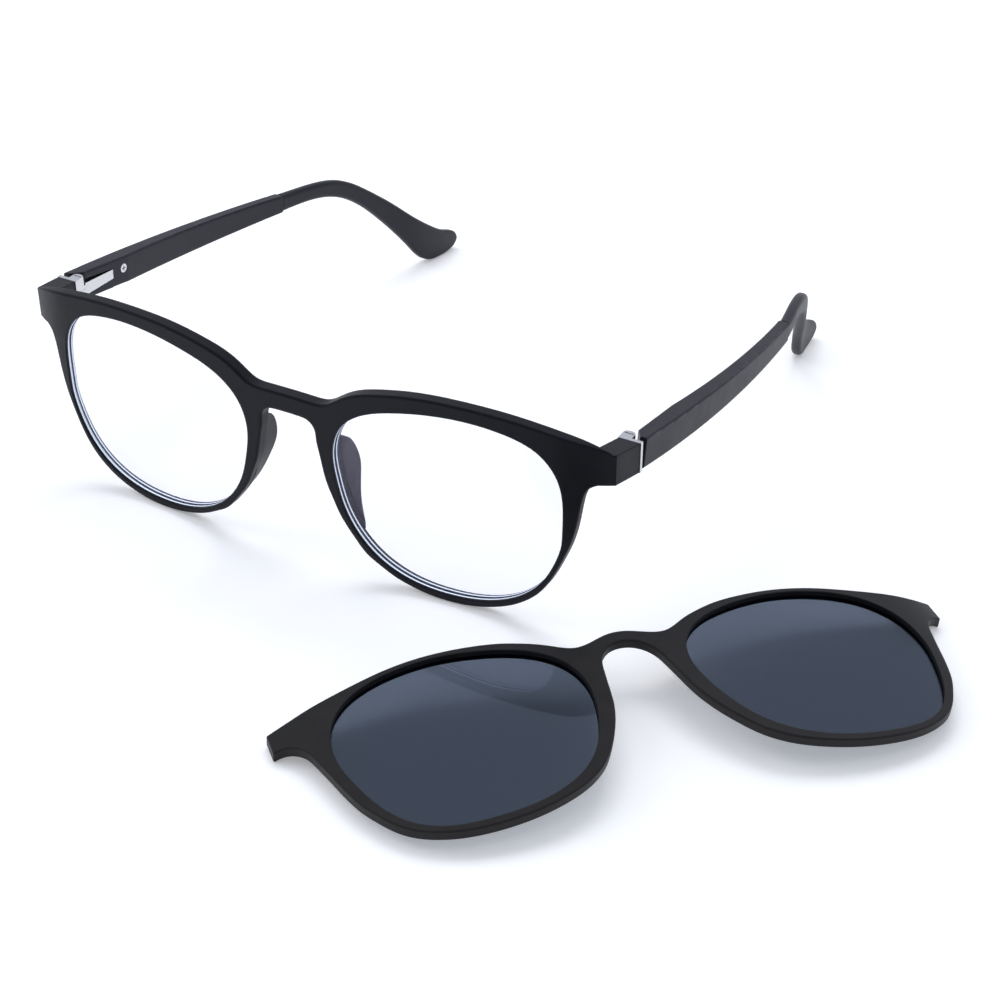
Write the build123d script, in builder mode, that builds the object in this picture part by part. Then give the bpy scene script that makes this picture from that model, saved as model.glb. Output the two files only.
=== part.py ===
"""Full-rim spectacles with a magnetic sun clip, both standing on a table, in millimetres.

The spectacles stand open on their lower rims and temple ends, with the clip lying face up in front of
them. X runs along the front, Y from the front towards the ears and Z up. Pieces of one pair are made
once, on the wearer's left at positive X, and mirrored.
"""
from build123d import *
import math
import os

os.makedirs("parts", exist_ok=True)

# Stance of the spectacles and of the clip on the table
spectacles_x = -31.77
spectacles_y = -45.05
front_lean = 3.1
clip_x = 54.73
clip_y = -57.985
clip_yaw = 49.6
clip_pitch = 4.5

# Front seen from above: a wide arc with a tighter arc at each end
face_radius = 430.0
face_half_width = 57.0
sweep_radius = 26.0
sweep_turn = 30.0
back_radius = 480.0
bridge_depth = 2.7

# Lens openings and the rim round them
lens_width = 49.2
lens_height = 40.7
bridge_width = 19.9
rim_width = 1.6

# Bridge and end pieces
bridge_height = 4.0
bridge_rise = 15.9
end_reach = 67.7
end_top = 18.7
end_bottom = 12.2
end_depth = 7.6
block_inner_x = 64.3
block_outer_x = 68.8
block_root_x = 63.2
block_top = 17.4
block_bottom = 11.0

# Nose wings, moulded on behind the rims and spread towards the back
wing_thickness = 1.6
wing_spread = 8.0

# Spectacle lenses, held by a tongue in a groove of the rim
lens_recess = 0.6
lens_thickness = 1.4
groove_depth = 0.6
groove_width = 0.7
groove_inset = 0.35

# Hinge: a plate with two knuckles behind the end piece, and the leaf's knuckle between them
hinge_x = 65.4
hinge_depth = 17.8
hinge_height = 13.2
plate_front = 15.6
plate_thickness = 0.85
plate_inner = 1.25
plate_outer = 3.55
plate_top = 17.45
plate_bottom = 10.95
knuckle_radius = 1.2
knuckle_back = 0.8
knuckle_rounding = 0.72
leaf_knuckle_height = 2.5
axial_clearance = 0.1
pin_radius = 0.65
pin_clearance = 0.05
pin_head_radius = 0.95
pin_head_height = 0.6
slot_width = 0.3
slot_depth = 0.35
lug_width = 2.0
lug_height = 2.4
lug_length = 3.0

# Temple arm, from the hinge to the joint with the tip
arm_slope = 5.83
arm_length = 75.9
arm_top = 4.19
arm_drop = 2.1
arm_end_drop = 0.05
arm_outer = 3.7
arm_inner = 0.5
arm_end_outer = 2.25
arm_end_inner = -0.65
arm_bow = 1.5
arm_inner_bow = 1.3
arm_belly = 0.7
arm_flat = 17.2
arm_gap = 0.65
corner_width = 1.8
corner_depth = 2.95
joint_chamfer = 0.25

# Temple tip, past the joint
tip_length = 61.0
tip_thickness = 2.6
tip_turn_in = 14.2

# Flat core wire through the joint
core_width = 1.0
core_height = 1.5
core_in_arm = 12.0
core_bend = 0.85

# Spring box in the arm, with rod, nut and spring
box_start = 2.6
box_length = 9.3
box_height = 2.8
box_end_height = 2.1
box_depth = 2.5
box_proud = 0.05
bore_radius = 0.75
bore_end = 1.0
box_wall = 0.7
pocket_gap = 1.0
pocket_end_gap = 0.2
pocket_depth = 1.2
rod_radius = 0.3
rod_clearance = 0.08
rod_length = 8.0
nut_radius = 0.62
nut_length = 0.9
neck_width = 1.9
neck_height = 2.0
spring_length = 4.4
spring_radius = 0.56
spring_wire = 0.1
spring_pitch = 0.4
tail_length = 6.0
tail_height = 2.0
tail_thickness = 0.8
temple_screw_at = 15.6
temple_screw_radius = 0.55
temple_head_radius = 1.0
temple_head_height = 0.5
cross_length = 1.1
cross_width = 0.3
cross_depth = 0.3

# Magnets, in the end pieces and in the ears of the clip
magnet_radius = 1.5
magnet_thickness = 1.2
magnet_x = 64.6
magnet_height = 14.05
magnet_cover = 0.7
magnet_proud = 0.1

# Clip: a thin plate frame with an ear at each end
clip_thickness = 2.0
clip_lens_width = 47.7
clip_lens_height = 41.7
clip_bridge_width = 20.7
clip_rim_width = 1.65
clip_bridge_rise = 16.8
clip_bridge_height = 3.1
clip_ear_reach = 67.1
clip_ear_top = 15.3
clip_ear_bottom = 10.4
clip_magnet_height = 13.1
clip_lens_recess = 1.0
clip_lens_thickness = 0.8
clip_groove_depth = 0.5
clip_groove_width = 0.4
clip_groove_inset = 0.2

# Roundings: what a finger meets, the clip's thin plate, and small metal
soft_edge = 0.45
plate_edge = 0.3
tip_edge = 1.0

# A length past every surface that a cut has to clear, one past the whole part, and a step for measuring
overrun = 1.0
reach = 90.0
measuring_step = 0.02

# Outline of a spectacle lens, in shares of its half width and half height, from the outer side
lens_shares = (
    (0.983, -0.04), (0.985, 0.28), (0.93, 0.62), (0.77, 0.85), (0.51, 0.967), (0.02, 1.0), (-0.44, 0.91),
    (-0.70, 0.80), (-0.91, 0.59), (-0.998, 0.28), (-0.97, -0.04), (-0.91, -0.31), (-0.78, -0.59),
    (-0.615, -0.785), (-0.41, -0.917), (0.02, -1.0), (0.445, -0.92), (0.65, -0.79), (0.815, -0.587),
    (0.925, -0.33),
)

# Outline of the rim, in shares of the opening's half size with the rim added
rim_top_shares = (
    (-0.994, 0.736), (-0.861, 0.832), (-0.727, 0.918), (-0.555, 0.978), (-0.365, 1.023),
    (-0.174, 1.051), (0.017, 1.062), (0.208, 1.062), (0.437, 1.051), (0.666, 1.023), (0.895, 0.982),
    (1.048, 0.946), (1.162, 0.905),
)
rim_low_shares = (
    (1.162, 0.549), (1.101, 0.513), (1.063, 0.422), (1.036, 0.24), (1.01, 0.053), (0.975, -0.107),
    (0.933, -0.243), (0.872, -0.416), (0.815, -0.549), (0.739, -0.676), (0.628, -0.795),
    (0.498, -0.886), (0.361, -0.945), (0.208, -0.986), (0.017, -1), (-0.174, -0.981), (-0.307, -0.945),
    (-0.441, -0.89), (-0.563, -0.813), (-0.67, -0.731), (-0.758, -0.612), (-0.838, -0.485),
    (-0.899, -0.366), (-0.948, -0.234), (-0.998, -0.084), (-1.032, 0.08), (-1.055, 0.226),
    (-1.074, 0.349), (-1.086, 0.454), (-1.128, 0.518),
)

# Outline of a clip lens, in shares of its half width and half height, from the outer side
clip_lens_shares = (
    (0.977, -0.081), (0.999, 0.216), (0.935, 0.515), (0.767, 0.76), (0.532, 0.908), (0.281, 0.979),
    (0.034, 1.0), (-0.213, 0.975), (-0.465, 0.909), (-0.722, 0.784), (-0.925, 0.553), (-1.0, 0.237),
    (-0.961, -0.081), (-0.875, -0.36), (-0.752, -0.6), (-0.581, -0.785), (-0.382, -0.906),
    (-0.175, -0.973), (0.034, -0.998), (0.247, -0.995), (0.471, -0.949), (0.675, -0.815), (0.819, -0.6),
    (0.911, -0.35),
)

# Outline of the clip's rim, in shares of the opening's half size with the rim added
clip_top_shares = (
    (-0.98, 0.668), (-0.862, 0.73), (-0.76, 0.797), (-0.643, 0.855), (-0.498, 0.912), (-0.321, 0.952),
    (-0.125, 0.975), (0.071, 0.979), (0.227, 0.966), (0.396, 0.935), (0.56, 0.89), (0.717, 0.841),
    (0.874, 0.788), (1.011, 0.739),
)
clip_low_shares = (
    (1.148, 0.392), (1.092, 0.303), (1.054, 0.17), (1.015, 0.005), (0.98, -0.155), (0.944, -0.297),
    (0.897, -0.44), (0.83, -0.58), (0.755, -0.71), (0.647, -0.831), (0.521, -0.911), (0.384, -0.964),
    (0.247, -0.991), (0.11, -1.0), (-0.047, -0.993), (-0.204, -0.968), (-0.368, -0.92), (-0.537, -0.844),
    (-0.674, -0.745), (-0.768, -0.641), (-0.854, -0.502), (-0.932, -0.347), (-0.987, -0.208),
    (-1.027, -0.075), (-1.054, 0.059), (-1.075, 0.185), (-1.097, 0.308), (-1.12, 0.42), (-1.17, 0.53),
)

# Side of a temple tip, in shares of its length and of the height of its joint's top
tip_top_shares = (
    (0.137, 0.989), (0.221, 0.977), (0.315, 0.943), (0.395, 0.879), (0.489, 0.765), (0.615, 0.587),
    (0.713, 0.432), (0.815, 0.298), (0.905, 0.207),
)
tip_end_shares = ((0.965, 0.165), (0.993, 0.125), (1.0, 0.085), (0.985, 0.042), (0.948, 0.012))
tip_rest_shares = ((0.9, 0.0), (0.835, 0.0))
tip_low_shares = (
    (0.742, 0.071), (0.689, 0.181), (0.613, 0.35), (0.531, 0.513), (0.466, 0.627), (0.381, 0.743),
    (0.297, 0.817), (0.19, 0.862), (0.079, 0.871),
)

# A tip seen from above, in shares of its length and of its turn towards the head
tip_turn_shares = (
    (-0.1, -0.008), (0.0, 0.0), (0.081, 0.06), (0.194, 0.158), (0.323, 0.271), (0.484, 0.468),
    (0.613, 0.665), (0.71, 0.827), (0.815, 0.933), (0.903, 0.982), (1.0, 1.0), (1.1, 1.0),
)

# The core wire's side in the tip, in shares of the tip's length and of the height of its joint's top
core_shares = (
    (0.1, 0.925), (0.194, 0.922), (0.3, 0.885), (0.39, 0.81), (0.484, 0.685), (0.57, 0.54), (0.65, 0.4),
    (0.72, 0.28), (0.8, 0.19),
)

# Side of a nose wing: depth in shares of the hinge's depth, height in shares of half a lens
wing_shares = (
    (0.11, 0.36), (0.25, 0.35), (0.36, 0.30), (0.44, 0.22), (0.51, 0.09), (0.52, -0.05), (0.46, -0.18),
    (0.37, -0.32), (0.28, -0.47), (0.2, -0.57), (0.11, -0.60),
)
wing_edge_shares = (
    (7.0, 0.42), (7.55, 0.25), (7.95, 0.08), (8.35, -0.08), (9.3, -0.24), (10.7, -0.4), (12.6, -0.54),
    (14.6, -0.66),
)

lens_x = (lens_width + bridge_width) / 2
half_width = lens_width / 2
half_height = lens_height / 2
rim_half_width = half_width + rim_width
rim_half_height = half_height + rim_width
front_height = rim_half_height * math.cos(math.radians(front_lean))

front_plane = Plane(
    origin=(spectacles_x, spectacles_y, front_height),
    x_dir=(1, 0, 0),
    z_dir=(0, -math.cos(math.radians(front_lean)), -math.sin(math.radians(front_lean))),
)
middle_plane = Plane.YZ.offset(spectacles_x)


def plan_of(plane):
    """The plane seen from above: the same X, with Y towards the back of the piece"""
    return Plane(origin=plane.origin, x_dir=plane.x_dir, z_dir=plane.y_dir)


def behind(depth):
    """All that lies behind a line set back from the face by a depth, as a sketch seen from above"""
    wide = math.degrees(math.asin(face_half_width / face_radius))
    tight_x = (face_radius - sweep_radius) * math.sin(math.radians(wide))
    tight_y = face_radius - (face_radius - sweep_radius) * math.cos(math.radians(wide))
    with BuildSketch() as region:
        with BuildLine():
            CenterArc((0, face_radius), face_radius - depth, -90, wide)
            tight = CenterArc((tight_x, tight_y), sweep_radius - depth, wide - 90, sweep_turn)
            Polyline(tight @ 1, ((tight @ 1).X, reach), (0, reach))
            mirror(about=Plane.YZ)
        make_face()
    return region.sketch


def through(plane, shape):
    """A shape's prism, far to both sides of its plane"""
    with BuildPart() as solid:
        with BuildSketch(plane.offset(-reach)):
            add(shape)
        extrude(amount=2 * reach)
    return solid.part


def slab(plane, shape, near, far):
    """The stretch of a shape's prism between two depths behind the face"""
    with BuildPart() as piece:
        add(through(plane, shape))
        add(through(plan_of(plane), behind(near)), mode=Mode.INTERSECT)
        add(through(plan_of(plane), behind(far)), mode=Mode.SUBTRACT)
    return piece.part


def lens_outline(shares, width, height, centre_x, growth):
    """A lens opening on the positive side, with its half sizes grown by a distance"""
    points = [
        (centre_x + share_x * (width / 2 + growth), share_y * (height / 2 + growth))
        for share_x, share_y in shares
    ]
    with BuildSketch() as outline:
        with BuildLine():
            Spline(*points, periodic=True)
        make_face()
    return outline.sketch


def rim_point(share_x, share_y):
    """A point of the rim's outline from its shares"""
    return (lens_x + share_x * rim_half_width, share_y * rim_half_height)


def both_ways(points):
    """Points of the positive side, listed outwards, after their mirror images, listed inwards"""
    return [(-x, y) for x, y in reversed(points)] + list(points)


def plate_outline(top_points, low_points):
    """A front or clip outline from the points of its top and of its lower edge on the positive side"""
    with BuildSketch() as outline:
        with BuildLine():
            top = Spline(*both_ways(top_points))
            low = Spline(*both_ways(low_points))
            Line(top @ 0, low @ 0)
            Line(top @ 1, low @ 1)
        make_face()
    return outline.sketch


front_outline = plate_outline(
    [
        (bridge_width / 4, bridge_rise),
        *[rim_point(*shares) for shares in rim_top_shares],
        (end_reach, end_top),
    ],
    [
        (bridge_width / 8, bridge_rise - bridge_height),
        *[rim_point(*shares) for shares in reversed(rim_low_shares)],
        (end_reach, end_bottom),
    ],
)


def both_sides(shape):
    """A sketch of the positive side with its mirror image"""
    with BuildSketch() as pair:
        add(shape)
        mirror(shape, about=Plane.YZ)
    return pair.sketch


def mirrored(piece):
    """The same piece on the wearer's right"""
    with BuildPart() as other:
        mirror(piece, about=middle_plane)
    return other.part


def prism(plane, points):
    """A polygon's prism, far to both sides of its plane"""
    with BuildSketch() as polygon:
        with BuildLine():
            Polyline(*points, close=True)
        make_face()
    return through(plane, polygon.sketch)


def block(plane, x_range, y_range, z_range):
    """A box between two values on each axis of a plane"""
    centre = [(low + high) / 2 for low, high in (x_range, y_range, z_range)]
    with BuildPart() as solid:
        with Locations(plane * Pos(*centre)):
            Box(x_range[1] - x_range[0], y_range[1] - y_range[0], z_range[1] - z_range[0])
    return solid.part


def rod(plane, radius, low, high):
    """A cylinder along a plane's normal between two heights"""
    with BuildPart() as solid:
        with Locations(plane * Pos(0, 0, (low + high) / 2)):
            Cylinder(radius, high - low)
    return solid.part


def face_at(x):
    """Depth of the face at a distance from the middle, and how far the face has turned there"""
    wide = math.asin(face_half_width / face_radius)
    angle = math.asin(math.sin(wide) + (x - face_half_width) / sweep_radius)
    depth = face_radius * (1 - math.cos(wide)) + sweep_radius * (math.cos(wide) - math.cos(angle))
    return depth, math.degrees(angle)


def hand_in(piece, name):
    """Write one piece to its file"""
    piece.label = name
    export_step(piece, f"parts/{name}.step")


def pair_hand_in(piece, name):
    """Write a piece and its mirror image to their files"""
    hand_in(piece, f"left_{name}")
    hand_in(mirrored(piece), f"right_{name}")


front_plan = plan_of(front_plane)
front_side = Plane(origin=front_plane.origin, x_dir=front_plan.y_dir, z_dir=front_plane.x_dir)

# Front: the rims, bridge and end pieces from one moulding
with BuildPart() as end_block:
    add(prism(front_plan, [
        (block_root_x, 0),
        (end_reach, 0),
        (end_reach, end_depth),
        (block_outer_x, plate_front),
        (block_inner_x, plate_front),
        (block_root_x, end_depth),
    ]))
    add(through(front_plan, behind(0)), mode=Mode.INTERSECT)
    add(prism(front_side, [
        (0, end_top + (end_top - block_top) * end_depth / (plate_front - end_depth)),
        (plate_front, block_top),
        (plate_front, block_bottom),
        (end_depth, end_bottom),
        (0, end_bottom),
    ]), mode=Mode.INTERSECT)

with BuildPart() as wing:
    with BuildSketch(front_plane):
        with BuildLine():
            edge = Spline(*[(x, share * half_height) for x, share in wing_edge_shares])
            far_edge = Spline(*[
                (x + wing_thickness, share * half_height) for x, share in wing_edge_shares
            ])
            Line(edge @ 0, far_edge @ 0)
            Line(edge @ 1, far_edge @ 1)
        make_face()
    spread = math.radians(wing_spread)
    extrude(
        amount=hinge_depth,
        dir=front_plane.x_dir * math.sin(spread) - front_plane.z_dir * math.cos(spread),
    )
    with BuildSketch() as wing_side:
        with BuildLine():
            back_edge = Spline(*[(depth * hinge_depth, rise * half_height) for depth, rise in wing_shares])
            Line(back_edge @ 1, back_edge @ 0)
        make_face()
    add(through(front_side, wing_side.sketch), mode=Mode.INTERSECT)

lens_shape = both_sides(lens_outline(lens_shares, lens_width, lens_height, lens_x, 0))
groove_shape = both_sides(lens_outline(lens_shares, lens_width, lens_height, lens_x, groove_depth))
groove_near = lens_recess + groove_inset
lens_tongue = slab(front_plane, groove_shape, groove_near, groove_near + groove_width)
with BuildPart() as lens_pair:
    add(slab(front_plane, lens_shape, lens_recess, lens_recess + lens_thickness))
    add(lens_tongue)

with BuildPart() as front_plate:
    add(through(front_plane, front_outline))
    add(through(front_plan, behind(0)), mode=Mode.INTERSECT)
    back_plan = front_plan * Pos(0, back_radius + bridge_depth, 0)
    add(rod(back_plan, back_radius, -reach, reach), mode=Mode.SUBTRACT)
    add(end_block.part)
    add(mirrored(end_block.part))
    face_edges = front_plate.edges().filter_by(lambda edge: edge.length > end_reach).sort_by(Axis.Y)[:2]
    fillet(face_edges, soft_edge)
with BuildPart() as front_frame:
    add(front_plate.part)
    add(wing.part)
    add(mirrored(wing.part))
    add(through(front_plane, lens_shape), mode=Mode.SUBTRACT)
    add(lens_tongue, mode=Mode.SUBTRACT)

# Spectacle lenses, as sprung into the groove
lens_sides = lens_pair.solids().sort_by(Axis.X)

# Hinge plate: two knuckles on a plate, with a lug moulded into the end piece
hinge_point = front_plane.from_local_coords((hinge_x, hinge_height, -hinge_depth))
hinge_plane = Plane(origin=hinge_point, x_dir=front_plane.x_dir, z_dir=front_plane.y_dir)
plate_near = plate_front - hinge_depth
knuckle_top = plate_top - hinge_height
knuckle_bottom = plate_bottom - hinge_height
leaf_half = leaf_knuckle_height / 2
knuckle_width = (-plate_inner, knuckle_radius)
knuckle_length = (plate_near, knuckle_back)
with BuildPart() as hinge_plate:
    add(block(
        hinge_plane, (-plate_inner, plate_outer), (plate_near, plate_near + plate_thickness),
        (knuckle_bottom, knuckle_top),
    ))
    add(block(hinge_plane, knuckle_width, knuckle_length, (leaf_half + axial_clearance, knuckle_top)))
    add(block(hinge_plane, knuckle_width, knuckle_length, (knuckle_bottom, -leaf_half - axial_clearance)))
    round_edges = hinge_plate.edges().filter_by(Axis(hinge_point, hinge_plane.z_dir)).sort_by(Axis.Y)[-4:]
    fillet(round_edges, knuckle_rounding)
    add(block(
        hinge_plane, (-lug_width / 2 + knuckle_radius, lug_width / 2 + knuckle_radius),
        (plate_near - lug_length, plate_near), (-lug_height / 2, lug_height / 2),
    ))
    add(rod(hinge_plane, pin_radius, knuckle_bottom - overrun, knuckle_top), mode=Mode.SUBTRACT)
    add(rod(
        hinge_plane, pin_head_radius, knuckle_top - pin_head_height, knuckle_top + overrun
    ), mode=Mode.SUBTRACT)

# Hinge screw: slotted, and the pin of the hinge
with BuildPart() as hinge_screw:
    add(rod(hinge_plane, pin_radius, knuckle_bottom, knuckle_top))
    add(rod(hinge_plane, pin_head_radius, knuckle_top - pin_head_height, knuckle_top))
    add(block(
        hinge_plane, (-pin_head_radius, pin_head_radius), (-slot_width / 2, slot_width / 2),
        (knuckle_top - slot_depth, knuckle_top + overrun),
    ), mode=Mode.SUBTRACT)

# Magnets in the end pieces, just behind the face and turned with it
magnet_depth, magnet_turn = face_at(magnet_x)
with BuildPart() as end_magnet:
    face_place = Pos(magnet_x, magnet_depth, magnet_height) * Rot(0, 0, magnet_turn) * Rot(90, 0, 0)
    with Locations(front_plan * face_place * Pos(0, 0, -magnet_cover - magnet_thickness / 2)):
        Cylinder(magnet_radius, magnet_thickness)

# Spring box in the arm's inner face, lying level, with a tail that the screw holds
spring_plane = Plane(origin=hinge_point, x_dir=(1, 0, 0), z_dir=(0, 0, 1))
box_inner = arm_inner - box_proud
box_outer = box_inner + box_depth
bore_centre = (box_inner + box_outer) / 2
box_end = box_start + box_length
bore_plane = Plane(
    origin=spring_plane.from_local_coords((bore_centre, 0, 0)), x_dir=(1, 0, 0), z_dir=(0, 1, 0)
)
box_side = Plane(origin=hinge_point, x_dir=(0, 1, 0), z_dir=(1, 0, 0))
screw_plane = Plane(
    origin=spring_plane.from_local_coords((box_inner, temple_screw_at, 0)), x_dir=(0, 1, 0), z_dir=(1, 0, 0)
)
with BuildPart() as spring_housing:
    add(prism(box_side, [
        (box_start, -box_height / 2),
        (box_end, -box_end_height / 2),
        (box_end, box_end_height / 2),
        (box_start, box_height / 2),
    ]))
    add(block(
        spring_plane, (box_inner, box_outer), (box_start, box_end), (-box_height, box_height)
    ), mode=Mode.INTERSECT)
    add(block(
        spring_plane, (box_outer - tail_thickness, box_outer), (box_end, box_end + tail_length),
        (-tail_height / 2, tail_height / 2),
    ))
housing_block = spring_housing.part
with BuildPart() as spring_housing:
    add(housing_block)
    add(rod(bore_plane, bore_radius, box_start + box_wall, box_end - bore_end), mode=Mode.SUBTRACT)
    add(rod(
        bore_plane, rod_radius + rod_clearance, box_start - overrun, box_start + box_wall
    ), mode=Mode.SUBTRACT)
    add(rod(screw_plane, temple_screw_radius, -overrun, box_depth + overrun), mode=Mode.SUBTRACT)

# Temple screw: cross-head, through the arm's inner face into the tail
with BuildPart() as temple_screw:
    add(rod(screw_plane, temple_screw_radius, 0, box_depth))
    add(rod(screw_plane, temple_head_radius, 0, temple_head_height))
screw_block = temple_screw.part
with BuildPart() as temple_screw:
    add(screw_block)
    for along, across in ((cross_length, cross_width), (cross_width, cross_length)):
        add(block(
            screw_plane, (-along / 2, along / 2), (-across / 2, across / 2), (-overrun, cross_depth)
        ), mode=Mode.SUBTRACT)

# Leaf: the middle knuckle with a neck that seats on the spring box
with BuildPart() as hinge_leaf:
    add(rod(hinge_plane, knuckle_radius, -leaf_half, leaf_half))
    add(block(
        spring_plane, (box_inner, box_inner + neck_width), (0, box_start), (-neck_height / 2, neck_height / 2)
    ))
    add(rod(hinge_plane, pin_radius + pin_clearance, -reach, reach), mode=Mode.SUBTRACT)
    add(rod(bore_plane, rod_radius, box_start - box_wall, reach), mode=Mode.SUBTRACT)

# Rod, nut and spring in the box: the spring is drawn fully closed, against the box's front wall
rod_end = box_start + rod_length
with BuildPart() as spring_rod:
    add(rod(bore_plane, rod_radius, box_start - box_wall, rod_end))
with BuildPart() as retaining_nut:
    add(rod(bore_plane, nut_radius, rod_end - nut_length, rod_end))
    add(rod(bore_plane, rod_radius, 0, reach), mode=Mode.SUBTRACT)
spring_start = bore_plane.offset(box_start + box_wall + spring_wire)
with BuildPart() as coil_spring:
    with BuildLine():
        coil = Helix(
            spring_pitch, spring_length - 2 * spring_wire, spring_radius, center=spring_start.origin,
            direction=spring_start.z_dir,
        )
    with BuildSketch(Plane(origin=coil @ 0, z_dir=coil % 0)):
        Circle(spring_wire)
    sweep()

# Temple arm: a tapered bar with its front corner cut away round the knuckles
slope = math.radians(arm_slope)
temple_side = Plane(origin=hinge_point, x_dir=(0, math.cos(slope), -math.sin(slope)), z_dir=(1, 0, 0))
temple_plan = Plane(origin=hinge_point, x_dir=(1, 0, 0), z_dir=temple_side.y_dir)
with BuildPart() as temple_arm:
    with BuildSketch() as arm_side_shape:
        with BuildLine():
            arm_front = Line((-arm_gap, arm_top), (-arm_gap, -arm_drop))
            arm_low = ThreePointArc(
                arm_front @ 1,
                (arm_length / 2, -(arm_drop + arm_end_drop) / 2 - arm_belly),
                (arm_length, -arm_end_drop),
            )
            Polyline(arm_low @ 1, (arm_length, arm_top), arm_front @ 0)
        make_face()
    add(through(temple_side, arm_side_shape.sketch))
    with BuildSketch() as arm_plan_shape:
        with BuildLine():
            arm_corner = Polyline(
                (arm_inner, arm_flat),
                (arm_inner, corner_depth - arm_gap),
                (arm_inner + corner_width, -arm_gap),
                (arm_outer, -arm_gap),
            )
            arm_back = ThreePointArc(
                arm_corner @ 1,
                ((arm_outer + arm_end_outer) / 2 + arm_bow, arm_length / 2),
                (arm_end_outer, arm_length),
            )
            arm_end = Line(arm_back @ 1, (arm_end_inner, arm_length))
            ThreePointArc(
                arm_end @ 1,
                ((arm_inner + arm_end_inner) / 2 + arm_inner_bow, (arm_flat + arm_length) / 2),
                arm_corner @ 0,
            )
        make_face()
    add(through(temple_plan, arm_plan_shape.sketch), mode=Mode.INTERSECT)
    long_edges = temple_arm.edges().filter_by(lambda e: e.length > arm_flat / 2)
    fillet(long_edges, soft_edge)
    chamfer(temple_arm.faces().sort_by(Axis.Y)[-1].edges(), joint_chamfer)

tip_side = Plane(origin=(hinge_point.X, hinge_point.Y, 0), x_dir=(0, 1, 0), z_dir=(1, 0, 0))
tip_plan = Plane(origin=tip_side.origin)
joint_top = tip_side.to_local_coords(temple_side.from_local_coords((arm_length, arm_top, 0)))
joint_low = tip_side.to_local_coords(temple_side.from_local_coords((arm_length, -arm_end_drop, 0)))
joint_centre = (arm_end_outer + arm_end_inner) / 2


def tip_points(shares):
    """Points of the tip's side from their shares"""
    return [(joint_top.X + along * tip_length, up * joint_top.Y) for along, up in shares]


def turn_points(side):
    """Points of one side of the tip seen from above"""
    return [
        (joint_centre - turn * tip_turn_in + side, joint_top.X + along * tip_length)
        for along, turn in tip_turn_shares
    ]


core_mid = (arm_top - arm_end_drop) / 2
core_start, core_joint = [
    tip_side.to_local_coords(temple_side.from_local_coords((along, core_mid, 0)))
    for along in (arm_length - core_in_arm, arm_length)
]
core_line = [(core_start.X, core_start.Y), (core_joint.X, core_joint.Y), *tip_points(core_shares)]
with BuildPart() as temple_core:
    with BuildSketch() as core_side_shape:
        with BuildLine():
            core_top = Spline(*[(along, up + core_height / 2) for along, up in core_line])
            core_low = Spline(*[(along, up - core_height / 2) for along, up in core_line])
            Line(core_top @ 0, core_low @ 0)
            Line(core_top @ 1, core_low @ 1)
        make_face()
    add(through(tip_side, core_side_shape.sketch))
    with BuildSketch() as core_plan_shape:
        with BuildLine():
            core_inner, core_outer = [
                Spline((joint_centre + core_bend + side, core_start.X), *turn_points(side))
                for side in (-core_width / 2, core_width / 2)
            ]
            Line(core_inner @ 0, core_outer @ 0)
            Line(core_inner @ 1, core_outer @ 1)
        make_face()
    add(through(tip_plan, core_plan_shape.sketch), mode=Mode.INTERSECT)

# Temple tip: the rubber end that bends down and in behind the ear
with BuildPart() as temple_tip:
    with BuildSketch() as tip_side_shape:
        with BuildLine():
            tip_top = Spline(
                (joint_top.X, joint_top.Y),
                *tip_points(tip_top_shares + tip_end_shares + tip_rest_shares[:1]),
            )
            tip_rest = Line(tip_top @ 1, tip_points(tip_rest_shares)[1])
            tip_low = Spline(
                tip_rest @ 1, *tip_points(tip_low_shares), (joint_low.X, joint_low.Y),
            )
            Line(tip_low @ 1, tip_top @ 0)
        make_face()
    add(through(tip_side, tip_side_shape.sketch))
    with BuildSketch() as tip_plan_shape:
        with BuildLine():
            inner_side = Spline(*turn_points(-tip_thickness / 2))
            outer_side = Spline(*turn_points(tip_thickness / 2))
            Line(inner_side @ 0, outer_side @ 0)
            Line(inner_side @ 1, outer_side @ 1)
        make_face()
    add(through(tip_plan, tip_plan_shape.sketch), mode=Mode.INTERSECT)
    joint_face = temple_tip.faces().sort_by(Axis.Y)[0]
    fillet([edge for edge in temple_tip.edges() if edge not in joint_face.edges()], tip_edge)
    chamfer(temple_tip.faces().sort_by(Axis.Y)[0].edges(), joint_chamfer)
    add(temple_core.part, mode=Mode.SUBTRACT)

# The arm's seats: for the box, with a gap above it, for the screw, the core and the leaf's neck
with BuildPart() as box_pocket:
    add(prism(box_side, [
        (box_start, 0),
        (box_end, 0),
        (box_end, box_end_height / 2 + pocket_end_gap),
        (box_start, box_height / 2 + pocket_gap),
    ]))
    add(block(
        spring_plane, (-reach, box_inner + pocket_depth), (0, reach), (-reach, reach)
    ), mode=Mode.INTERSECT)
with BuildPart() as arm_body:
    add(temple_arm.part)
    add(box_pocket.part, mode=Mode.SUBTRACT)
    add(housing_block, mode=Mode.SUBTRACT)
    add(screw_block, mode=Mode.SUBTRACT)
    add(temple_core.part, mode=Mode.SUBTRACT)
    add(block(
        spring_plane, (-reach, box_inner + neck_width + axial_clearance), (-reach, box_start),
        (-neck_height / 2 - axial_clearance, neck_height / 2 + axial_clearance),
    ), mode=Mode.SUBTRACT)

# Clip: the plate frame with its ears, laid face up where its ears and lower rims touch the table
clip_lens_x = (clip_lens_width + clip_bridge_width) / 2
clip_half_width = clip_lens_width / 2 + clip_rim_width
clip_half_height = clip_lens_height / 2 + clip_rim_width


def clip_at(height):
    """The clip's plane, on the back of its bridge, at a height above the table"""
    yaw = math.radians(clip_yaw)
    pitch = math.radians(clip_pitch)
    along = Vector(math.cos(yaw), math.sin(yaw), 0)
    up_slope = Vector(-math.sin(yaw) * math.cos(pitch), math.cos(yaw) * math.cos(pitch), math.sin(pitch))
    return Plane(origin=(clip_x, clip_y, height), x_dir=along, z_dir=along.cross(up_slope))


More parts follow.
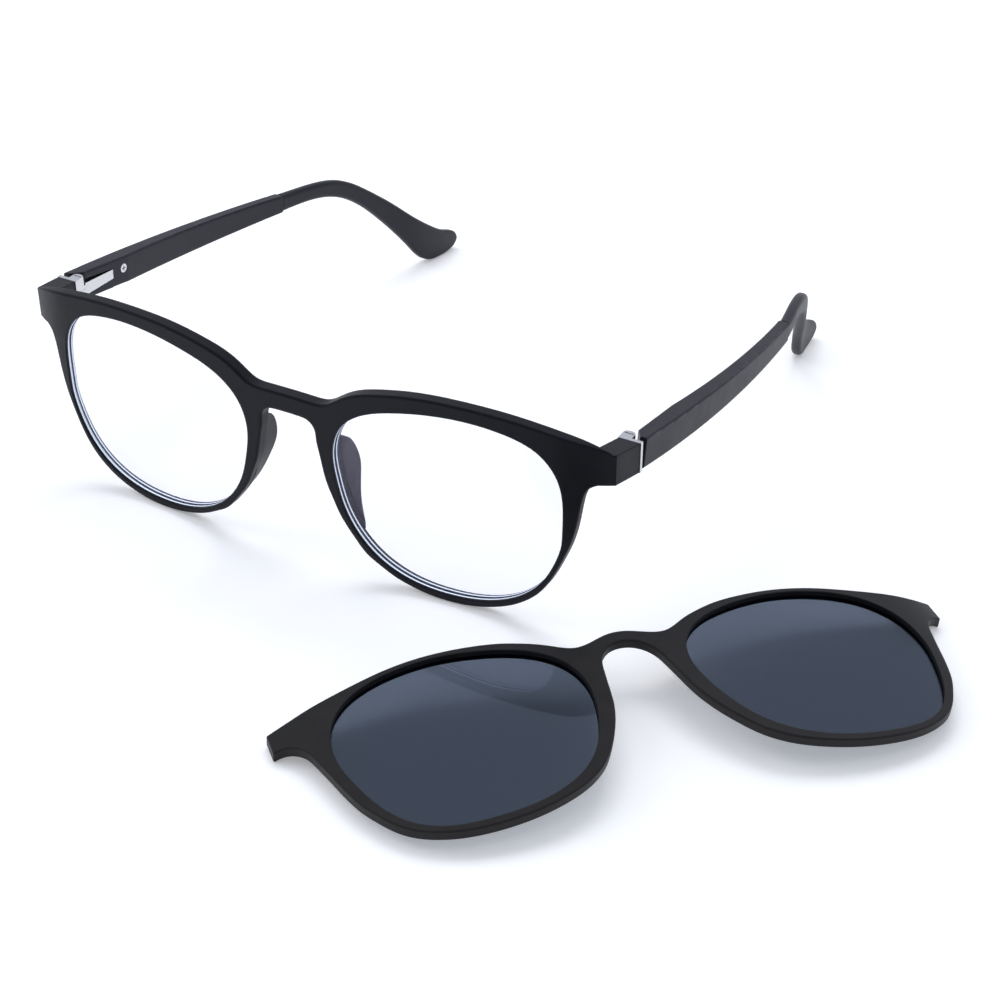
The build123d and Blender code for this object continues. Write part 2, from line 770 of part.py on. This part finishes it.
def clip_point(share_x, share_y):
    """A point of the clip's rim from its shares"""
    return (clip_lens_x + share_x * clip_half_width, share_y * clip_half_height)


clip_outline = plate_outline(
    [
        (clip_bridge_width / 10, clip_bridge_rise),
        *[clip_point(*shares) for shares in clip_top_shares],
        (clip_ear_reach, clip_ear_top),
    ],
    [
        (clip_bridge_width / 10, clip_bridge_rise - clip_bridge_height),
        *[clip_point(*shares) for shares in reversed(clip_low_shares)],
        (clip_ear_reach, clip_ear_bottom),
    ],
)

clip_lens_shape, clip_groove_shape = [
    both_sides(lens_outline(clip_lens_shares, clip_lens_width, clip_lens_height, clip_lens_x, growth))
    for growth in (0, clip_groove_depth)
]


def clip_plate(plane):
    """The clip's frame on a plane, before the grooves and the magnets' pockets are cut"""
    with BuildPart() as plate:
        add(slab(plane, clip_outline, -clip_thickness, 0))
        fillet(plate.edges(), plate_edge)
        add(through(plane, clip_lens_shape), mode=Mode.SUBTRACT)
    return plate.part


trial_points, trial_faces = clip_plate(clip_at(0)).tessellate(measuring_step)
clip_plane = clip_at(-min(point.Z for point in trial_points))
print("clip plane height", clip_plane.origin.Z)
clip_near = clip_lens_recess - clip_thickness
clip_groove_near = clip_near + clip_groove_inset
clip_tongue = slab(clip_plane, clip_groove_shape, clip_groove_near, clip_groove_near + clip_groove_width)
with BuildPart() as clip_lens_pair:
    add(slab(clip_plane, clip_lens_shape, clip_near, clip_near + clip_lens_thickness))
    add(clip_tongue)
clip_lens_sides = clip_lens_pair.solids().sort_by(Axis(clip_plane.origin, clip_plane.x_dir))
clip_plan = plan_of(clip_plane)
clip_magnet_solids = []
for side in (-1, 1):
    with BuildPart() as clip_magnet:
        ear_place = Pos(side * magnet_x, magnet_depth, clip_magnet_height) * Rot(0, 0, side * magnet_turn)
        face_turn = Rot(90, 0, 0) * Pos(0, 0, magnet_thickness / 2 - magnet_proud)
        with Locations(clip_plan * ear_place * face_turn):
            Cylinder(magnet_radius, magnet_thickness)
    clip_magnet_solids.append(clip_magnet.part)
with BuildPart() as clip_frame:
    add(clip_plate(clip_plane))
    add(clip_tongue, mode=Mode.SUBTRACT)
    add(clip_magnet_solids, mode=Mode.SUBTRACT)
with BuildPart() as clip_magnets:
    add(clip_magnet_solids)

with BuildPart() as front_magnets:
    add(end_magnet.part)
    add(mirrored(end_magnet.part))
with BuildPart() as front_body:
    add(front_frame.part)
    add(hinge_plate.part, mode=Mode.SUBTRACT)
    add(mirrored(hinge_plate.part), mode=Mode.SUBTRACT)
    add(front_magnets.part, mode=Mode.SUBTRACT)

hand_in(front_body.part, "front_frame")
hand_in(lens_sides[0], "right_lens")
hand_in(lens_sides[-1], "left_lens")
hand_in(front_magnets.part, "front_magnets")
pair_hand_in(hinge_plate.part, "hinge_plate")
pair_hand_in(hinge_screw.part, "hinge_screw")
pair_hand_in(hinge_leaf.part, "hinge_leaf")
pair_hand_in(spring_rod.part, "spring_rod")
pair_hand_in(retaining_nut.part, "retaining_nut")
pair_hand_in(coil_spring.part, "coil_spring")
pair_hand_in(spring_housing.part, "spring_housing")
pair_hand_in(temple_screw.part, "temple_screw")
pair_hand_in(arm_body.part, "temple_arm")
pair_hand_in(temple_core.part, "temple_core")
pair_hand_in(temple_tip.part, "temple_tip")
hand_in(clip_frame.part, "clip_frame")
hand_in(clip_lens_sides[0], "right_clip_lens")
hand_in(clip_lens_sides[-1], "left_clip_lens")
hand_in(clip_magnets.part, "clip_magnets")
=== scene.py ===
"""Spectacles with a magnetic sun clip: the finishes of every piece, the pale studio and the camera."""
import math
import bpy
from mathutils import Matrix, Vector

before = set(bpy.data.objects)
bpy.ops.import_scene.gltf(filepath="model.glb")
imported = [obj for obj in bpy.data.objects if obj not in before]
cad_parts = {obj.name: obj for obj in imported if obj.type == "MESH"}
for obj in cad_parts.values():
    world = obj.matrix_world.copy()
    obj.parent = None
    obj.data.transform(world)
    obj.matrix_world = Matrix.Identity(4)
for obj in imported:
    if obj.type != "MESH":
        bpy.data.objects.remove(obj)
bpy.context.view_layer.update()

# Camera
# A short telephoto lens looks down on the spectacles from their front left, as they stand on the table.
# Its place is the one from which the rims, temples and clip fall where the photograph shows them.
camera_target = Vector((-0.01562, 0.01323, -0.01069))
camera_distance = 0.45294
camera_azimuth = math.radians(28.281)
camera_elevation = math.radians(30.786)
camera_roll = math.radians(1.765)
camera_lens = 72.44
film_width = 36
nearest_seen = 0.01
camera_back = Vector((
    math.sin(camera_azimuth) * math.cos(camera_elevation),
    -math.cos(camera_azimuth) * math.cos(camera_elevation),
    math.sin(camera_elevation),
))
level_right = Vector((math.cos(camera_azimuth), math.sin(camera_azimuth), 0))
level_up = camera_back.cross(level_right)
camera_right = math.cos(camera_roll) * level_right + math.sin(camera_roll) * level_up
camera_up = math.cos(camera_roll) * level_up - math.sin(camera_roll) * level_right
camera_data = bpy.data.cameras.new("studio_camera")
camera_data.lens = camera_lens
camera_data.sensor_width = film_width
camera_data.clip_start = nearest_seen
camera = bpy.data.objects.new("studio_camera", camera_data)
camera_turn = Matrix((camera_right, camera_up, camera_back)).transposed().to_4x4()
camera.matrix_world = Matrix.Translation(camera_target + camera_distance * camera_back) @ camera_turn
bpy.context.scene.collection.objects.link(camera)
bpy.context.scene.camera = camera
bpy.context.scene.view_settings.view_transform = "Standard"


# Table
# A seamless white table top, matt, on which the rims, the tips and the clip leave soft bluish shadows.
# It is a single sheet just under the lowest points of the pieces, and fades into the white tent far off.
class Shade:
    """One output of a node in a shader tree. Arithmetic on it adds Math nodes to the same tree."""

    def __init__(self, tree, socket=None):
        self.tree = tree
        self.socket = socket

    def node(self, kind, output, settings, sockets):
        """Adds a node of that type, makes its settings, fills or links its sockets, and gives an output."""
        new = self.tree.nodes.new(kind)
        for name, value in settings.items():
            setattr(new, name, value)
        for name, value in sockets.items():
            if isinstance(value, Shade):
                self.tree.links.new(value.socket, new.inputs[name])
            else:
                new.inputs[name].default_value = value
        return None if output is None else Shade(self.tree, new.outputs[output])

    def math(self, operation, first, second=0.0):
        return self.node("ShaderNodeMath", 0, {"operation": operation}, {0: first, 1: second})

    def __add__(self, other):
        return self.math("ADD", self, other)

    __radd__ = __add__

    def __mul__(self, other):
        return self.math("MULTIPLY", self, other)

    __rmul__ = __mul__

    def at_most(self, other):
        return self.math("MINIMUM", self, other)

    def size(self):
        return self.math("ABSOLUTE", self)

    def step(self, low, high, start=0.0, end=1.0):
        """Goes smoothly from start to end as this value goes from low to high."""
        return self.node("ShaderNodeMapRange", "Result", {"interpolation_type": "SMOOTHSTEP"}, {
            "Value": self, "From Min": low, "From Max": high, "To Min": start, "To Max": end,
        })

    def between(self, first, second):
        """The colour first where this value is 0 and second where it is 1."""
        return self.node("ShaderNodeMix", 2, {"data_type": "RGBA"}, {0: self, 6: first, 7: second})


def new_material(name):
    """An empty material and its shader tree."""
    made = bpy.data.materials.new(name)
    made.use_nodes = True
    made.node_tree.nodes.clear()
    return made, Shade(made.node_tree)


def seen_ray(tree):
    """1 for the rays that the eye, a mirror or glass looks along, and 0 for the ones that carry light."""
    eye = tree.node("ShaderNodeLightPath", "Is Camera Ray", {}, {})
    mirror = Shade(tree.tree, eye.socket.node.outputs["Is Glossy Ray"])
    glass = Shade(tree.tree, eye.socket.node.outputs["Is Transmission Ray"])
    return (eye + mirror + glass).at_most(1.0)


white = (1, 1, 1, 1)
table_reach = 3.0
table_height = -0.00005
table_white = (0.84, 0.85, 0.87, 1)
table_glow = 0.27
fade_start = 0.25
fade_end = 0.75
table_corners = [
    (x * table_reach, y * table_reach, table_height)
    for x, y in ((-1, -1), (1, -1), (1, 1), (-1, 1))
]
table_mesh = bpy.data.meshes.new("table_top")
table_mesh.from_pydata(table_corners, [], [(0, 1, 2, 3)])
table_top = bpy.data.objects.new("table_top", table_mesh)
bpy.context.scene.collection.objects.link(table_top)
table_paint, tree = new_material("table_white")
matt = tree.node("ShaderNodeBsdfDiffuse", 0, {}, {"Color": table_white})
glow_level = seen_ray(tree) * table_glow
glow = tree.node("ShaderNodeEmission", 0, {}, {"Color": white, "Strength": glow_level})
near = tree.node("ShaderNodeAddShader", 0, {}, {0: matt, 1: glow})
far = tree.node("ShaderNodeEmission", 0, {}, {"Color": white, "Strength": 1.0})
spot = tree.node("ShaderNodeTexCoord", "Object", {}, {})
away = tree.node("ShaderNodeVectorMath", "Value", {"operation": "LENGTH"}, {0: spot})
faded = away.step(fade_start, fade_end) * seen_ray(tree)
whole = tree.node("ShaderNodeMixShader", 0, {}, {0: faded, 1: near, 2: far})
tree.node("ShaderNodeOutputMaterial", None, {}, {"Surface": whole})
table_mesh.materials.append(table_paint)

# Room and softboxes
# A white tent, open towards the camera, lights everything with slightly cool light, most of it from behind.
# One large softbox hangs high behind the spectacles, and a weaker one stands to the left.
tent_cool = (0.86, 0.90, 1.0, 1)
tent_back = (-0.41, 0.77, 0.5)
tent_level = 0.85
open_level = 0.3
open_side = -0.6
full_side = 0.8
room = bpy.data.worlds.new("white_tent")
room.use_nodes = True
room.node_tree.nodes.clear()
tree = Shade(room.node_tree)
heading = tree.node("ShaderNodeTexCoord", "Generated", {}, {})
backwards = tree.node("ShaderNodeVectorMath", "Value", {"operation": "DOT_PRODUCT"}, {
    0: heading, 1: tent_back,
})
level = backwards.step(open_side, full_side, open_level, tent_level)
tent_light = tree.node("ShaderNodeBackground", 0, {}, {"Color": tent_cool, "Strength": level})
tent_seen = tree.node("ShaderNodeBackground", 0, {}, {"Color": white, "Strength": 1.0})
eye = tree.node("ShaderNodeLightPath", "Is Camera Ray", {}, {})
tent = tree.node("ShaderNodeMixShader", 0, {}, {0: eye, 1: tent_light, 2: tent_seen})
tree.node("ShaderNodeOutputWorld", None, {}, {"Surface": tent})
bpy.context.scene.world = room


def softbox(name, place, aim, width, height, power, colour):
    """An area lamp at place that faces aim. Gloss shows the tent in front of it and not the lamp."""
    lamp = bpy.data.lights.new(name, "AREA")
    lamp.shape = "RECTANGLE"
    lamp.size = width
    lamp.size_y = height
    lamp.energy = power
    lamp.color = colour
    hung = bpy.data.objects.new(name, lamp)
    hung.visible_glossy = False
    bpy.context.scene.collection.objects.link(hung)
    towards = (Vector(aim) - Vector(place)).normalized()
    turn = towards.to_track_quat("-Z", "Y").to_matrix().to_4x4()
    hung.matrix_world = Matrix.Translation(Vector(place)) @ turn


softbox(
    "rear_softbox", place=(-0.3, 0.45, 0.9), aim=(0, 0, 0), width=0.8, height=0.45,
    power=4.6, colour=(1, 0.99, 0.98),
)
softbox(
    "left_softbox", place=(-0.75, -0.25, 0.55), aim=(0, 0, 0.02), width=0.5, height=0.5,
    power=1.6, colour=(1, 1, 1),
)

# Front
# The frame front, with its nose wings, is one piece of black plastic with a soft matt lacquer.
# Its edges are slightly rounded and catch the light, and the lacquer has a very fine grain.
bevel_samples = 6
noise_low = 0.3
noise_high = 0.7
mottle_low = 0.35
mottle_high = 0.65
cloud_size = 40
cloud_detail = 3.0
cloud_share = 0.6
rough_drift = 0.05
cool_gloss = (0.86, 0.87, 1.0, 1)


def rounded_grain(tree, edge, scale, height, fineness=4.0):
    """A fine grain, and the normal of a surface with that grain whose edges are rounded to that radius."""
    place = tree.node("ShaderNodeTexCoord", "Object", {}, {})
    grain = tree.node("ShaderNodeTexNoise", "Fac", {}, {"Vector": place, "Scale": scale, "Detail": fineness})
    soft = tree.node("ShaderNodeBevel", 0, {"samples": bevel_samples}, {"Radius": edge})
    return grain, tree.node("ShaderNodeBump", 0, {}, {
        "Height": grain, "Strength": 1.0, "Distance": height, "Normal": soft,
    })


def lacquer(name, dark, light, rough, edge, scale, height, shine, gloss_tint=cool_gloss):
    """A matt finish whose colour and roughness drift a little between two near values."""
    made, tree = new_material(name)
    grain, normal = rounded_grain(tree, edge, scale, height)
    place = tree.node("ShaderNodeTexCoord", "Object", {}, {})
    cloud = tree.node("ShaderNodeTexNoise", "Fac", {}, {
        "Vector": place, "Scale": scale / cloud_size, "Detail": cloud_detail,
    })
    mottle = cloud * cloud_share + grain * (1 - cloud_share)
    wear = cloud * 0.5 + grain * 0.5
    body = tree.node("ShaderNodeBsdfPrincipled", 0, {}, {
        "Base Color": mottle.step(mottle_low, mottle_high).between(dark, light),
        "Roughness": wear.step(noise_low, noise_high, rough - rough_drift, rough + rough_drift),
        "Specular IOR Level": shine,
        "Specular Tint": gloss_tint,
        "Normal": normal,
    })
    tree.node("ShaderNodeOutputMaterial", None, {}, {"Surface": body})
    return made


def dress(made, *names):
    """Gives these CAD nodes that material."""
    for name in names:
        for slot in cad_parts[name].material_slots:
            slot.material = made


front_black = lacquer(
    "front_matt_black", dark=(0.002, 0.002, 0.0035, 1), light=(0.004, 0.004, 0.006, 1),
    rough=0.45, edge=0.00045, scale=9000, height=0.000006, shine=0.22,
)
dress(front_black, "front_frame")

# Clear lenses
# Two lenses of clear plastic, pressed into the grooves of the rims, with a faint violet reflection.
# Their ground edges are frosted and carry a painted glow, and show as a pale ring inside the lower rims.
lens_clear = (0.985, 0.99, 1.0, 1)
lens_violet = (0.82, 0.76, 1.0, 1)
edge_frost = (0.75, 0.84, 0.95, 1)
# Strength of the painted glow on the frosted edges of the clear lenses.
edge_painted_glow = 0.55
frost_cover = 0.85
lens_polish = 0.02
mirrored_head_on = 0.04
slant_power = 5.0
side_facing = 0.55
face_facing = 0.75
lens_play = 0.00005
front_lean = math.radians(3.1)
front_axis = (0, math.cos(front_lean), math.sin(front_lean))


def edge_mask(tree, axis):
    """1 on faces that look sideways from the axis of a lens, such as its ground edge, and 0 on its faces."""
    facing = tree.node("ShaderNodeTexCoord", "Normal", {}, {})
    along = tree.node("ShaderNodeVectorMath", "Value", {"operation": "DOT_PRODUCT"}, {0: facing, 1: axis})
    return along.size().step(side_facing, face_facing, 1.0, 0.0)


def lens_material(name, axis, through, mirror, frost, frost_painted_glow):
    """Tinted plastic: light goes straight through it, less what it mirrors, and its edge is frosted and
    carries a painted glow.

    It mirrors the head-on share where it is seen square on, and the rest of the light in the measure that
    the fifth power of its slant gives.
    """
    made, tree = new_material(name)
    clear = tree.node("ShaderNodeBsdfTransparent", 0, {}, {"Color": through})
    sheen = tree.node("ShaderNodeBsdfAnisotropic", 0, {}, {"Color": mirror, "Roughness": lens_polish})
    slant = tree.node("ShaderNodeLayerWeight", "Facing", {}, {"Blend": 0.5})
    mirrored = slant.math("POWER", slant, slant_power) * (1 - mirrored_head_on) + mirrored_head_on
    glass = tree.node("ShaderNodeMixShader", 0, {}, {0: mirrored, 1: clear, 2: sheen})
    matt = tree.node("ShaderNodeBsdfDiffuse", 0, {}, {"Color": frost})
    # Painted glow: the frosted edge gives off light of its own to seen rays, standing in for the light it
    # catches.
    painted_glow = tree.node("ShaderNodeEmission", 0, {}, {"Color": frost, "Strength": seen_ray(tree) * frost_painted_glow})
    frost_and_painted_glow = tree.node("ShaderNodeAddShader", 0, {}, {0: matt, 1: painted_glow})
    edge = edge_mask(tree, axis) * frost_cover
    lens = tree.node("ShaderNodeMixShader", 0, {}, {0: edge, 1: glass, 2: frost_and_painted_glow})
    tree.node("ShaderNodeOutputMaterial", None, {}, {"Surface": lens})
    return made


def free_edges(*names):
    """Draws these lenses in by a hair, so that their ground edges show in front of the walls they press on.

    Each face moves along its own normal, so the shell opens by as little between its faces.
    """
    for name in names:
        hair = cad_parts[name].modifiers.new("edge_play", "DISPLACE")
        hair.mid_level = 0
        hair.strength = -lens_play


clear_plastic = lens_material(
    "clear_lens_plastic", front_axis, through=lens_clear, mirror=lens_violet,
    frost=edge_frost, frost_painted_glow=edge_painted_glow,
)
dress(clear_plastic, "left_lens", "right_lens")
free_edges("left_lens", "right_lens")

# Magnets
# Small nickel plated discs, set into the end pieces of the front and into the back of the clip.
# The ones in the front are hidden in the plastic, and the ones in the clip show as bright discs behind it.
scratch_fineness = 2.0
scratch_drop = 0.04
scratch_rise = 0.06


def metal(name, colour, rough, edge, scale, height):
    """A polished or brushed metal with rounded edges and faint scratches in its roughness."""
    made, tree = new_material(name)
    grain, normal = rounded_grain(tree, edge, scale, height, scratch_fineness)
    body = tree.node("ShaderNodeBsdfPrincipled", 0, {}, {
        "Base Color": colour,
        "Metallic": 1.0,
        "Roughness": grain.step(noise_low, noise_high, rough - scratch_drop, rough + scratch_rise),
        "Normal": normal,
    })
    tree.node("ShaderNodeOutputMaterial", None, {}, {"Surface": body})
    return made


nickel = metal(
    "magnet_nickel", colour=(0.70, 0.68, 0.64, 1), rough=0.22, edge=0.00015, scale=4000, height=0.000002,
)
dress(nickel, "front_magnets", "clip_magnets")

# Hinges
# Each hinge is a three barrel hinge of bright metal: a plate on the front, a leaf that closes on the
# spring housing of the temple, and a screw through the barrels.
hinge_silver = metal(
    "hinge_nickel_silver", colour=(0.62, 0.62, 0.63, 1), rough=0.16, edge=0.00012, scale=3000,
    height=0.000002,
)
hinge_parts = [side + part for side in ("left_", "right_") for part in (
    "hinge_plate", "hinge_leaf", "hinge_screw", "spring_housing", "temple_screw",
)]
dress(hinge_silver, *hinge_parts)

# Springs, rods, nuts and cores
# The steel pieces inside the temples: the rod that pulls the leaf, its coil spring and nut, and the
# core that stiffens the arm's end and reaches into the tip.
spring_steel = metal(
    "spring_steel", colour=(0.52, 0.52, 0.54, 1), rough=0.28, edge=0.00005, scale=6000, height=0.000002,
)
inner_parts = [side + part for side in ("left_", "right_") for part in (
    "spring_rod", "coil_spring", "retaining_nut", "temple_core",
)]
dress(spring_steel, *inner_parts)

# Temple arms
# Flat moulded arms in the same black as the front, with a soft-touch coat that looks a little greyer.
# The spring housing and a small screw are let into their inner faces.
arm_grey = lacquer(
    "arm_soft_touch", dark=(0.005, 0.005, 0.008, 1), light=(0.009, 0.009, 0.013, 1),
    rough=0.46, edge=0.0004, scale=8000, height=0.000008, shine=0.34,
)
dress(arm_grey, "left_temple_arm", "right_temple_arm")

# Temple tips
# Rubber sleeves pushed over the steel cores against the ends of the arms.
# They are dull, with a fine pitted skin.
tip_rubber = lacquer(
    "tip_matt_rubber", dark=(0.006, 0.006, 0.0085, 1), light=(0.012, 0.012, 0.015, 1),
    rough=0.48, edge=0.0005, scale=6000, height=0.000012, shine=0.4,
)
dress(tip_rubber, "left_temple_tip", "right_temple_tip")

# Clip frame
# A thinner plate that follows the outline of the front, moulded in one piece, which magnets hold to it.
# Its surface is a dry charcoal, a little warmer than the front.
warm_gloss = (1.0, 0.98, 0.98, 1)
clip_charcoal = lacquer(
    "clip_charcoal", dark=(0.006, 0.0055, 0.006, 1), light=(0.012, 0.011, 0.0115, 1),
    rough=0.50, edge=0.0004, scale=9000, height=0.000008, shine=0.3, gloss_tint=warm_gloss,
)
dress(clip_charcoal, "clip_frame")

# Sun lenses
# Thin polarised lenses, dark slate blue, snapped into the grooves of the clip.
# They mirror the room, and the lower rim of the spectacles in it.
sun_slate = (0.305, 0.337, 0.387, 1)
sun_mirror = (0.62, 0.70, 0.88, 1)
sun_edge = (0.02, 0.02, 0.03, 1)
clip_axis = (0.060, -0.051, 0.997)
sun_plastic = lens_material(
    "sun_lens_plastic", clip_axis, through=sun_slate, mirror=sun_mirror, frost=sun_edge, frost_painted_glow=0,
)
dress(sun_plastic, "left_clip_lens", "right_clip_lens")
free_edges("left_clip_lens", "right_clip_lens")
